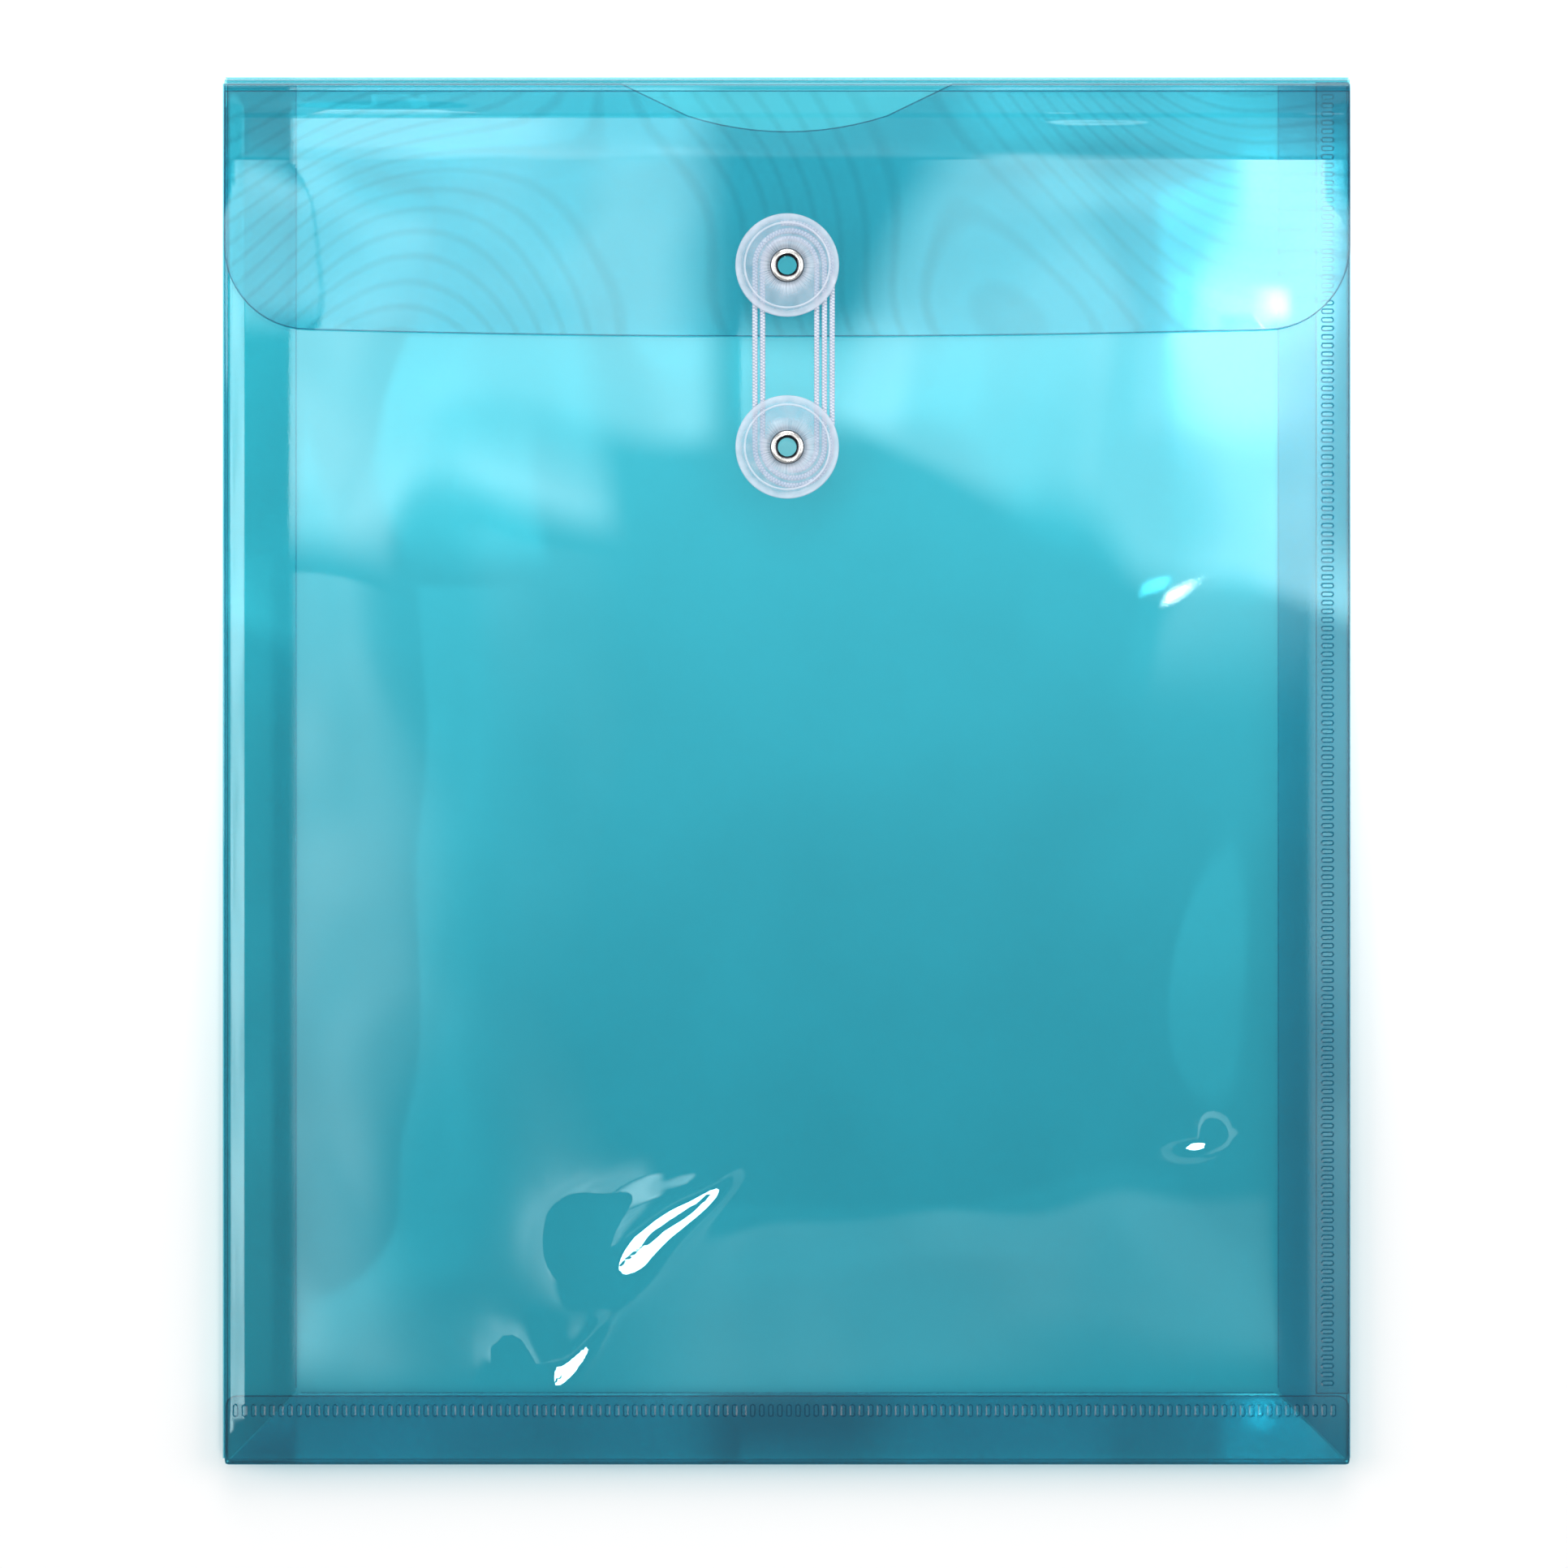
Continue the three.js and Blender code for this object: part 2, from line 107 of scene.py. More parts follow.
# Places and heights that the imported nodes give, in mm
upper_y = sum(corner[1] for corner in box_mm("upper_eyelet")) / 2
lower_y = sum(corner[1] for corner in box_mm("lower_eyelet")) / 2
front_top = box_mm("front_panel")[1][2]
flap_top = box_mm("flap_panel")[1][2]
half_height = box_mm("back_panel")[1][1]
half_width = box_mm("back_panel")[1][0]
disc_radius = box_mm("lower_button_disc")[1][0]

# Colours, in linear light
FILM_TINT = (0.3, 0.79, 0.85)
# Painted light and shade: copies of the film's tint, paler or deeper by the side that a folded ply is
# on
FOLDED_PAINTED_LIGHT = {
    "left": (0.4, 0.94, 0.96),
    "right": (0.35, 0.9, 0.95),
    "bottom": (0.15, 0.9, 0.95),
    "top": (0.24, 0.72, 0.79),
}
# Painted shade: a deeper tint for the dark look of the film round its folds
FOLD_PAINTED_SHADE = (0.14, 0.62, 0.72)
# Painted shade: a deeper tint for the dark lines that the film's cut edges and slot walls show
EDGE_PAINTED_SHADE = (0.05, 0.34, 0.44)
SLOT_TINT = (0.5, 0.92, 0.95)
DISC_TINT = (0.9, 0.95, 0.98)
DISC_BODY = (0.8, 0.83, 0.92)
NICKEL = (0.8, 0.79, 0.77)
# Painted shade: nickel darkened nearly black in the bore and round the eyelet's roll
NICKEL_PAINTED_SHADE = (0.05, 0.05, 0.06)
CORD_LIGHT = (0.9, 0.9, 0.95)
# Painted shade: a bluish dark tone for the grooves between the cord's strands
CORD_PAINTED_SHADE = (0.3, 0.4, 0.56)
FLOOR = (0.8, 0.8, 0.8)
WHITE = (1.0, 1.0, 1.0)

# A noise texture stays mostly between these two values
NOISE_SPAN = (0.3, 0.7)


def new_material(name):
    material = bpy.data.materials.new(name)
    material.use_nodes = True
    material.node_tree.nodes.clear()
    return material


def rgba(colour):
    return (*colour, 1.0)


class Tree:
    """Adds nodes to a node tree: each call sets sockets by name, and links those given a socket."""

    def __init__(self, tree):
        self.tree = tree

    def add(self, kind, inputs=None, **settings):
        node = self.tree.nodes.new(kind)
        for key, value in settings.items():
            setattr(node, key, value)
        for key, value in (inputs or {}).items():
            if isinstance(value, bpy.types.NodeSocket):
                self.tree.links.new(value, node.inputs[key])
            else:
                node.inputs[key].default_value = value
        return node

    def math(self, operation, a, b=0.0):
        return self.add("ShaderNodeMath", {0: a, 1: b}, operation=operation).outputs[0]

    def vector(self, operation, a, b):
        return self.add("ShaderNodeVectorMath", {0: a, 1: b}, operation=operation).outputs

    def place(self):
        return self.add("ShaderNodeTexCoord").outputs["Object"]

    def noise(self, scale, detail, place=None):
        inputs = {"Scale": scale, "Detail": detail}
        inputs["Vector"] = self.place() if place is None else place
        return self.add("ShaderNodeTexNoise", inputs).outputs["Fac"]

    def ramp(self, value, low, high, to_low, to_high, smooth=False):
        inputs = {
            "Value": value, "From Min": low, "From Max": high, "To Min": to_low, "To Max": to_high,
        }
        kind = "SMOOTHSTEP" if smooth else "LINEAR"
        node = self.add("ShaderNodeMapRange", inputs, interpolation_type=kind)
        return node.outputs["Result"]

    def mix_colour(self, share, a, b):
        inputs = {"Factor": share, "A": a, "B": b}
        return self.add("ShaderNodeMix", inputs, data_type="RGBA").outputs["Result"]

    def mix(self, share, a, b):
        return self.add("ShaderNodeMixShader", {0: share, 1: a, 2: b}).outputs[0]

    def bump(self, height, distance):
        inputs = {"Height": height, "Strength": 1.0, "Distance": distance}
        return self.add("ShaderNodeBump", inputs).outputs[0]

    def surface(self, shader):
        self.add("ShaderNodeOutputMaterial", {"Surface": shader})


# Film surface: fine orange peel, share mirrored face on and at a slant, and soft clouds
PEEL_SCALE = 2600.0
PEEL = 0.0003
MIRROR_SHARES = (0.045, 0.9)
MIRROR_POWER = 5.0
CLOUD_SCALE = 24.0
CLOUD_SHADE = 0.965

# Contour lines where two plies nearly touch: size of the pattern, lines in it, depth and thinness
LINES_SCALE = 9.0
LINES_COUNT = 280.0
LINES_SHADE = 0.94
LINES_THIN = 0.3


def film_material(name, tint, contours=False):
    """Clear tinted film: each face lets light through and mirrors a little more at a slant."""
    material = new_material(name)
    tree = Tree(material.node_tree)
    bump = tree.bump(tree.noise(PEEL_SCALE, 1.0), PEEL * MM)
    facing = tree.add("ShaderNodeLayerWeight", {"Blend": 0.5, "Normal": bump}).outputs["Facing"]
    mirror = tree.ramp(tree.math("POWER", facing, MIRROR_POWER), 0.0, 1.0, *MIRROR_SHARES)
    face = [math.sqrt(t) for t in tint]
    deep = [t * CLOUD_SHADE for t in face]
    colour = tree.mix_colour(tree.noise(CLOUD_SCALE, 3.0), rgba(face), rgba(deep))
    if contours:
        wave = tree.math("SINE", tree.math("MULTIPLY", tree.noise(LINES_SCALE, 0.0), LINES_COUNT))
        line = [t * LINES_SHADE for t in face]
        colour = tree.mix_colour(tree.ramp(wave, LINES_THIN, 1.0, 0.0, 1.0), colour, rgba(line))
    clear = tree.add("ShaderNodeBsdfTransparent", {"Color": colour})
    gloss = tree.add("ShaderNodeBsdfGlossy", {"Color": rgba(WHITE), "Roughness": 0.0, "Normal": bump})
    tree.surface(tree.mix(mirror, clear.outputs[0], gloss.outputs[0]))
    return material


# Disc frosting and painted highlights at the rim and a thin circle: bands in mm, and the share each
# reaches
RIM_BAND = (2.2, 0.3)
RIM_HAZE_AND_HIGHLIGHT = 0.26
SEAT_BAND = (7.4, 4.4)
SEAT_HAZE = 0.26
CIRCLE_RADIUS = 9.35
CIRCLE_BAND = (0.1, 0.3)
CIRCLE_HIGHLIGHT = 0.3
CLOUD_HAZE = (0.12, 0.26)

# Its patterns: size of the clouds and of the rays, the rays' place in the noise, and fine grain
HAZE_SCALE = 320.0
RAY_STEPS = 9.0
RAY_SCALE = 2.2
RAY_PLACE = 0.4
RAY_SHARES = (0.3, 1.5)
GRAIN_SCALE = 900.0
GRAIN_HEIGHT = 0.012


def disc_material(name, centre):
    """Clear pressed plastic with frosting, rays in the dish, and painted highlights at rim and thin
    circle.
    """
    material = new_material(name)
    tree = Tree(material.node_tree)
    away = tree.vector("SUBTRACT", tree.place(), centre)[0]
    parts = tree.add("ShaderNodeSeparateXYZ", {0: away})
    across = [parts.outputs["X"], parts.outputs["Y"]]
    squared = [tree.math("MULTIPLY", part, part) for part in across]
    radius = tree.math("SQRT", tree.math("ADD", *squared))
    angle = tree.math("ARCTAN2", across[1], across[0])
    turned = tree.math("MULTIPLY", angle, RAY_STEPS)
    spokes = tree.add("ShaderNodeCombineXYZ", {"X": turned, "Y": RAY_PLACE})
    rays = tree.ramp(tree.noise(RAY_SCALE, 3.0, spokes.outputs[0]), *NOISE_SPAN, *RAY_SHARES)
    cloud = tree.ramp(tree.noise(HAZE_SCALE, 3.0), *NOISE_SPAN, *CLOUD_HAZE)
    rim_band = [(disc_radius - inset) * MM for inset in RIM_BAND]
    seat_band = [reach * MM for reach in SEAT_BAND]
    circle_band = [reach * MM for reach in CIRCLE_BAND]
    # Painted highlight: the rim band's frosting whitens to a highlight at the edge, and the thin
    # circle is one
    rim = tree.ramp(radius, *rim_band, 0.0, RIM_HAZE_AND_HIGHLIGHT, True)
    seat = tree.ramp(radius, *seat_band, 0.0, SEAT_HAZE, True)
    off_circle = tree.math("ABSOLUTE", tree.math("SUBTRACT", radius, CIRCLE_RADIUS * MM))
    circle_highlight = tree.ramp(off_circle, *circle_band, CIRCLE_HIGHLIGHT, 0.0, True)
    haze_and_highlight = tree.math("ADD", rim, tree.math("MULTIPLY", seat, rays))
    haze_and_highlight = tree.math("ADD", haze_and_highlight, circle_highlight)
    haze_and_highlight = tree.math("ADD", haze_and_highlight, cloud)
    bump = tree.bump(tree.noise(GRAIN_SCALE, 3.0), GRAIN_HEIGHT * MM)
    clear = tree.add("ShaderNodeBsdfTransparent", {"Color": rgba(DISC_TINT)})
    body = tree.add(
        "ShaderNodeBsdfPrincipled",
        {"Base Color": rgba(DISC_BODY), "Roughness": 0.22, "IOR": 1.5, "Normal": bump},
    )
    tree.surface(tree.mix(haze_and_highlight, clear.outputs[0], body.outputs[0]))
    return material


# Turning marks of the plate: their size and roughness, and finer ones with their height in mm
MARKS_SCALE = 900.0
MARKS_ROUGHNESS = (0.2, 0.32)
FINE_MARKS_SCALE = 1500.0
FINE_MARKS_HEIGHT = 0.006


def nickel_material(name, colour):
    """Bright plate with fine turning marks, or with painted shade when given a dark colour."""
    material = new_material(name)
    tree = Tree(material.node_tree)
    metal = tree.add(
        "ShaderNodeBsdfPrincipled",
        {
            "Base Color": rgba(colour),
            "Metallic": 1.0,
            "Roughness": tree.ramp(tree.noise(MARKS_SCALE, 3.0), *NOISE_SPAN, *MARKS_ROUGHNESS),
            "Normal": tree.bump(tree.noise(FINE_MARKS_SCALE, 2.0), FINE_MARKS_HEIGHT * MM),
        },
    )
    tree.surface(metal.outputs[0])
    return material


# How pointed the cord's mesh is in its grooves (painted shade) and on its strands, and the size of
# its fuzz
GROOVE_SPAN = (0.44, 0.52)
FUZZ_SCALE = 3500.0
FUZZ_HEIGHT = 0.05


def cord_material(name):
    """Matt thread: light strands, with shade painted into the grooves between them, and a little
    fuzz.
    """
    material = new_material(name)
    tree = Tree(material.node_tree)
    raised = tree.add("ShaderNodeNewGeometry").outputs["Pointiness"]
    off_groove_share = tree.ramp(raised, *GROOVE_SPAN, 0.0, 1.0)
    thread = tree.add(
        "ShaderNodeBsdfPrincipled",
        {
            "Base Color": tree.mix_colour(off_groove_share, rgba(CORD_PAINTED_SHADE), rgba(CORD_LIGHT)),
            "Roughness": 0.75,
            "Sheen Weight": 0.3,
            "Normal": tree.bump(tree.noise(FUZZ_SCALE, 3.0), FUZZ_HEIGHT * MM),
        },
    )
    tree.surface(thread.outputs[0])
    return material


# The floor's painted glow, from its dim level to its bright one between two places along Y, in metres
FLOOR_PAINTED_GLOW = (0.04, 0.6)
GLOW_SPAN = (-0.1, 0.14)


def floor_material(name):
    """Pale floor that reads white to the eye and in mirrors, with painted light brighter towards +Y.
    """
    material = new_material(name)
    tree = Tree(material.node_tree)
    path = tree.add("ShaderNodeLightPath")
    seen = tree.math("MAXIMUM", path.outputs["Is Camera Ray"], path.outputs["Is Glossy Ray"])
    seen = tree.math("MAXIMUM", seen, path.outputs["Is Transmission Ray"])
    parts = tree.add("ShaderNodeSeparateXYZ", {0: tree.place()})
    level = tree.ramp(parts.outputs["Y"], *GLOW_SPAN, *FLOOR_PAINTED_GLOW, True)
    strength = tree.math("MULTIPLY", seen, level)
    painted_glow = tree.add("ShaderNodeEmission", {"Color": rgba(WHITE), "Strength": strength})
    matt = tree.add("ShaderNodeBsdfDiffuse", {"Color": rgba(FLOOR)})
    both = tree.add("ShaderNodeAddShader", {0: matt.outputs[0], 1: painted_glow.outputs[0]})
    tree.surface(both.outputs[0])
    return material


# Materials, and which of them the imported nodes wear: folded film has painted light and shade by its
# side
film = film_material("film", FILM_TINT)
film_contours = film_material("film_contours", FILM_TINT, True)
# Painted shade, a deeper tint, on the film's cut edges and slot walls
film_edge_shade = film_material("film_edge_shade", EDGE_PAINTED_SHADE)
# Painted shade, a deeper tint, round the folds
film_fold_shade = film_material("film_fold_shade", FOLD_PAINTED_SHADE)
film_slot = film_material("film_slot", SLOT_TINT)
frost_and_highlight = disc_material("frost_and_highlight_lower", (0.0, lower_y * MM, 0.0))
frost_and_highlight_upper = disc_material("frost_and_highlight_upper", (0.0, upper_y * MM, 0.0))
nickel = nickel_material("nickel_plate", NICKEL)
nickel_painted_shade = nickel_material("painted_shade_nickel", NICKEL_PAINTED_SHADE)
cord = cord_material("cord_braid")
by_slot = {"aqua_film": film, "frosted_plastic": frost_and_highlight, "nickel": nickel, "white_cord": cord}
folded_painted_light = {word: film_material(f"film_{word}", tint) for word, tint in FOLDED_PAINTED_LIGHT.items()}
for part in frame["record"]["subparts"]:
    node = nodes[part["node"]]
    side = part["node"].split("_")[0]
    node.data.materials.clear()
    node.data.materials.append(folded_painted_light.get(side, by_slot[part["material_slot"]]))
nodes["upper_backing_washer"].data.materials[0] = frost_and_highlight_upper


def make_piece(name, verts, faces, materials, kinds=None):
    """A mesh object from millimetre points and smooth faces."""
    mesh = bpy.data.meshes.new(name)
    mesh.from_pydata([(x * MM, y * MM, z * MM) for x, y, z in verts], [], faces)
    for material in materials:
        mesh.materials.append(material)
    if kinds is not None:
        mesh.polygons.foreach_set("material_index", kinds)
    mesh.polygons.foreach_set("use_smooth", [True] * len(faces))
    mesh.update()
    piece = bpy.data.objects.new(name, mesh)
    bpy.context.scene.collection.objects.link(piece)
    return piece


# How near corners are joined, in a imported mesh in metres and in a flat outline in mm, and how
# much of a face's normal points up when it counts as level
JOIN = 1e-7
FLAT_JOIN = 1e-6
LEVEL = 0.95


def frame_mesh(node):
    """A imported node's mesh, with the corners that its faces share joined."""
    mesh = bmesh.new()
    mesh.from_mesh(nodes[node].data)
    bmesh.ops.remove_doubles(mesh, verts=mesh.verts, dist=JOIN)
    mesh.verts.ensure_lookup_table()
    mesh.verts.index_update()
    mesh.normal_update()
    return mesh


def outline_loops(mesh, facing):
    """Closed loops round the faces that look up (1) or down (-1), with the film on their left."""
    onward = {}
    for face in mesh.faces:
        if face.normal.z * facing < LEVEL:
            continue
        for loop in face.loops:
            beyond = [f for f in loop.edge.link_faces if f is not face]
            if any(f.normal.z * facing > LEVEL for f in beyond):
                continue
            onward[loop.vert.index] = loop.link_loop_next.vert.index
    loops = []
    while onward:
        start, here = onward.popitem()
        loop = [start]
        while here != start and here in onward:
            loop.append(here)
            here = onward.pop(here)
        if here == start:
            loops.append(np.array([mesh.verts[i].co / MM for i in loop][:: facing]))
    return loops


def offset_loop(loop, distance):
    """A closed loop moved to its left by a distance, with its corners kept."""
    ahead = np.roll(loop, -1, 0) - loop
    ahead /= np.linalg.norm(ahead, axis=1)[:, None]
    left = np.stack([-ahead[:, 1], ahead[:, 0]], 1)
    mitre = left + np.roll(left, 1, 0)
    return loop + mitre * (2 * distance / (mitre**2).sum(1))[:, None]


def inside_loop(points, loop):
    """Which points lie inside a closed loop."""
    x, y = points[:, 0], points[:, 1]
    hit = np.zeros(len(points), bool)
    for (ax, ay), (bx, by) in zip(loop, np.roll(loop, -1, 0)):
        if ay == by:
            continue
        crosses = (ay > y) != (by > y)
        hit ^= crosses & (x < (bx - ax) * (y - ay) / (by - ay) + ax)
    return hit


# Heights along a sheet are read at this spacing, by rays from well above and below, in mm
PROFILE_STEP = 0.1
RAY_START = 50


def height_profile(node, column):
    """Heights of a sheet's top and underside along Y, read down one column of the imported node."""
    mesh = frame_mesh(node)
    tree = BVHTree.FromBMesh(mesh)
    low, high = box_mm(node)
    rows = []
    for y in np.arange(low[1], high[1], PROFILE_STEP):
        top = tree.ray_cast(Vector((column, y, RAY_START)) * MM, Vector((0, 0, -1)))[0]
        under = tree.ray_cast(Vector((column, y, -RAY_START)) * MM, Vector((0, 0, 1)))[0]
        if top and under:
            rows.append((y, top.z / MM, under.z / MM))
    mesh.free()
    return np.array(rows).T


# Kinds of point in a sheet: its cut edge, the round's foot, the end of its band, the rim and
# the floor of a slot, and open film
CUT, ROUND_FOOT, BAND_END, SLOT_RIM, SLOT_FLOOR, OPEN = range(6)

# A sheet's materials, by index; the second carries painted shade for the dark lines at cut edges and
# slot walls
CLEAR, DARK_EDGE, PRESSED = range(3)


def sheet_outlines(node):
    """A packed sheet's outlines, and the outlines of the slots in its top face."""
    mesh = frame_mesh(node)
    top = box_mm(node)[1][2]
    outlines = [loop[:, :2] for loop in outline_loops(mesh, -1)]
    slots = []
    for loop in outline_loops(mesh, 1):
        size = np.ptp(loop[:, :2], axis=0).max()
        if size < SLOT_LARGEST and loop[:, 2].min() > top - SLOT_SLACK:
            slots.append(loop[:, :2])
    mesh.free()
    return outlines, slots


def sheet_grid(node, outlines, slots, rows, columns, creases):
    """Points of the open film: a coarse grid with extra rows and columns, and fine squares."""
    low, high = box_mm(node)
    xs = [*np.arange(low[0] + GRID / 2, high[0], GRID), *columns]
    ys = [*np.arange(low[1] + GRID / 2, high[1], GRID), *rows]
    grid = [(x, y) for y in ys for x in xs]
    for (cx, cy), reach, _ in creases:
        steps = np.arange(-FINE_REACH * reach, FINE_REACH * reach, FINE_GRID)
        grid += [(cx + x, cy + y) for x in steps for y in steps]
    grid = np.array(grid)
    keep = np.zeros(len(grid), bool)
    for loop in outlines:
        keep ^= inside_loop(grid, offset_loop(loop, EDGE_BAND + EDGE_CLEAR))
    for slot in slots:
        near = (grid > slot.min(0) - SLOT_CLEAR) & (grid < slot.max(0) + SLOT_CLEAR)
        keep &= ~near.all(1)
    return grid[keep]


def film_sheet(node, wave, profile=None, rows=(), columns=(), creases=(), clear=film):
    """A sheet with rounded cut edges, pressed slots and waves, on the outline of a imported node."""
    low, high = box_mm(node)
    outlines, slots = sheet_outlines(node)
    levels = [(CUT, 0.0), (ROUND_FOOT, EDGE_ROUND), (BAND_END, EDGE_BAND)]
    loops = [(kind, offset_loop(loop, inset)) for loop in outlines for kind, inset in levels]
    for slot in slots:
        loops += [(SLOT_RIM, slot), (SLOT_FLOOR, offset_loop(slot, -SLOT_WALL))]
    points, kinds, edges, walls = [], [], [], []
    for kind, loop in loops:
        first = len(points)
        count = len(loop)
        ring = [(first + i, first + (i + 1) % count) for i in range(count)]
        edges += ring
        if kind == CUT:
            walls += ring
        points += loop.tolist()
        kinds += [kind] * count
    grid = sheet_grid(node, outlines, slots, rows, columns, creases).tolist()
    points += grid
    kinds += [OPEN] * len(grid)

    made = geometry.delaunay_2d_cdt([Vector(p) for p in points], edges, [], 0, FLAT_JOIN, True)
    flat_points, _, triangles, origins = made[:4]
    flat = np.array([tuple(v) for v in flat_points])
    kind = np.array([min(kinds[i] for i in origin) if origin else OPEN for origin in origins])
    index = {i: out for out, origin in enumerate(origins) for i in origin}
    faces = [face for face in triangles if kind[list(face)].max() > CUT]
    if profile is None:
        tops = np.full(len(flat), high[2])
        unders = np.full(len(flat), low[2])
    else:
        tops = np.interp(flat[:, 1], profile[0], profile[1])
        unders = np.interp(flat[:, 1], profile[0], profile[2])
    lift = wave(flat)
    rounding = np.where(kind == CUT, EDGE_ROUND, 0)
    tops = tops + lift - rounding - np.where(kind == SLOT_FLOOR, SLOT_DEPTH, 0)
    unders = unders + lift + rounding

    count = len(flat)
    verts = [(x, y, z) for (x, y), z in zip(flat, tops)]
    verts += [(x, y, z) for (x, y), z in zip(flat, unders)]
    all_faces, shades = [], []
    for a, b, c in faces:
        corners = kind[[a, b, c]]
        under_shade = DARK_EDGE if (corners <= ROUND_FOOT).any() else CLEAR
        top_shade = PRESSED if (corners == SLOT_FLOOR).all() else under_shade
        if (corners == SLOT_FLOOR).any() and (corners == SLOT_RIM).any():
            top_shade = DARK_EDGE
        all_faces += [(a, b, c), (c + count, b + count, a + count)]
        shades += [top_shade, under_shade]
    for a, b in walls:
        a, b = index[a], index[b]
        all_faces.append((a + count, b + count, b, a))
        shades.append(DARK_EDGE)
    materials = [clear, film_edge_shade, film_slot]
    piece = make_piece(f"{node}_film", verts, all_faces, materials, shades)
    piece.data.set_sharp_from_angle(angle=math.radians(SHARP_FILM))
    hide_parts(node)
    return piece


# Waves of each sheet, in mm: a seed, sizes as wave length and height, and margins that stay calm
FRONT_WAVES = (1.3, ((70, 0.5), (30, 0.09)), (16, 16, 17, 10))
BACK_WAVES = (5.1, ((80, 0.45), (34, 0.07)), (16, 16, 16, 10))
FLAP_WAVES = (9.4, ((60, 0.4), (26, 0.08)), (0, 0, 0, 16))
BACK_LIFT = 0.4
SEED_STEP = 3.7
STRETCH = 0.8

# How far the calm fades out: from the sides and the foot, from the top, and round the buttons
SIDE_FADE = 40
TOP_FADE = 14
BUTTON_FADE = (12.5, 62)

# Creases that flash white, in mm: place, reach along and width across. The flank that doesn't
# flash is wider, and the fine squares of points reach past the crease
FRONT_CREASES = (
    ((-35.0, -108.0), 11.0, 6.5),
    ((-26.0, -99.0), 10.0, 4.5),
    ((-18.0, -94.5), 8.0, 2.6),
    ((-52.0, -132.5), 6.0, 4.5),
    ((-46.0, -129.5), 8.0, 2.0),
    ((90.4, -82.7), 4.8, 2.4),
)
FAR_FLANK = 1.8
FINE_REACH = 1.6
BELL_SLOPE = 0.858

# The front's roll towards its left fold, in mm: height, width, and where it fades out
EDGE_ROLL = 0.35
EDGE_ROLL_WIDTH = 4.2
ROLL_FADE = (22, 80)
ROLL_FOOT = (0.3, 8)

# Long pinched lines beside the first score, in mm: centre, reach along the width, and height
PINCHES = (((-89.0, 145.7), 17.0, 0.085), ((69.0, 143.4), 11.0, 0.06))
PINCH_WIDTH = 0.9
PINCH_ROWS = 0.35

# The flap's heights are read down this column, clear of the buttons and the notch, in mm
FLAP_COLUMN = 60.0


def smoothstep(value, low, high):
    t = np.clip((value - low) / (high - low), 0, 1)
    return t * t * (3 - 2 * t)


def ripple(points, seed, sizes):
    """Soft waves of several sizes, added up."""
    total = np.zeros(len(points))
    for order, (length, height) in enumerate(sizes):
        for i, (x, y) in enumerate(points):
            where = Vector((x / length, y / length * STRETCH, seed + SEED_STEP * order))
            total[i] += height * noise.noise(where)
    return total


def calm(points, margins):
    """1 in the open film and 0 near its edges and around the buttons and the string."""
    left, right, low, high = margins
    x, y = points[:, 0], points[:, 1]
    share = smoothstep(x + half_width, left, left + SIDE_FADE)
    share *= smoothstep(half_width - x, right, right + SIDE_FADE)
    share *= smoothstep(y + half_height, low, low + SIDE_FADE)
    share *= smoothstep(half_height - y, high, high + TOP_FADE)
    along = np.clip(y, lower_y, upper_y)
    away = np.hypot(x, y - along)
    return share * smoothstep(away, *BUTTON_FADE)


def glint(points, place, reach, width):
    """A bulge whose steep flank tilts the film so that it mirrors the glint lamp at that place."""
    here = np.array(place)
    level = here * (1 + CEILING / CAMERA_HEIGHT)
    slope = (level - np.array(GLINT_LAMP) / MM) / (2 * CEILING / MM)
    steep = np.hypot(*slope)
    uphill = slope / steep
    away = points - (here + uphill * width / math.sqrt(2))
    along = (away @ np.array([-uphill[1], uphill[0]])) / reach
    across = -(away @ uphill) / width
    across = np.where(across > 0, across, across / FAR_FLANK)
    return steep * width / BELL_SLOPE * np.exp(-(along**2) - across**2)


def front_wave(points):
    """Soft waves, white-flashing creases, and the roll of the film towards its left fold."""
    seed, sizes, margins = FRONT_WAVES
    waves = ripple(points, seed, sizes) * calm(points, margins)
    for place, reach, width in FRONT_CREASES:
        waves += glint(points, place, reach, width)
    inward = points[:, 0] + half_width - EDGE_BAND
    roll = np.clip(inward / EDGE_ROLL_WIDTH, 0, 1) * (1 - smoothstep(inward, *ROLL_FADE))
    return waves + EDGE_ROLL * roll * smoothstep(points[:, 1] + half_height, *ROLL_FOOT)


def back_wave(points):
    """Soft waves that never dip into the floor."""
    seed, sizes, margins = BACK_WAVES
    return (BACK_LIFT + ripple(points, seed, sizes)).clip(0, None) * calm(points, margins)


def flap_wave(points):
    """Soft waves, and the pinched lines beside the first score."""
    seed, sizes, margins = FLAP_WAVES
    waves = ripple(points, seed, sizes) * calm(points, margins)
    for (cx, cy), reach, height in PINCHES:
        along = (points[:, 0] - cx) / reach
        across = (points[:, 1] - cy) / PINCH_WIDTH
        waves += height * np.exp(-(along**4) - across**2)
    return waves


def no_wave(points):
    return np.zeros(len(points))


# The sheets, with extra rows at the flap's scores and pinches, and columns where the roll ends
score_rows = []
for drop in SCORE_DROPS:
    for side in (-1, 1):
        for reach in (SCORE_HALF, SCORE_HALF + SCORE_SLOPE):
            score_rows.append(half_height - drop + side * reach)
pinch_lines = [place[1] for place, reach, height in PINCHES]
pinch_low = min(pinch_lines) - 2 * PINCH_WIDTH
pinch_high = max(pinch_lines) + 2 * PINCH_WIDTH
pinch_rows = np.arange(pinch_low, pinch_high, PINCH_ROWS)
roll_end = EDGE_BAND + EDGE_ROLL_WIDTH - half_width
roll_columns = (roll_end - EDGE_CLEAR, roll_end + EDGE_CLEAR)

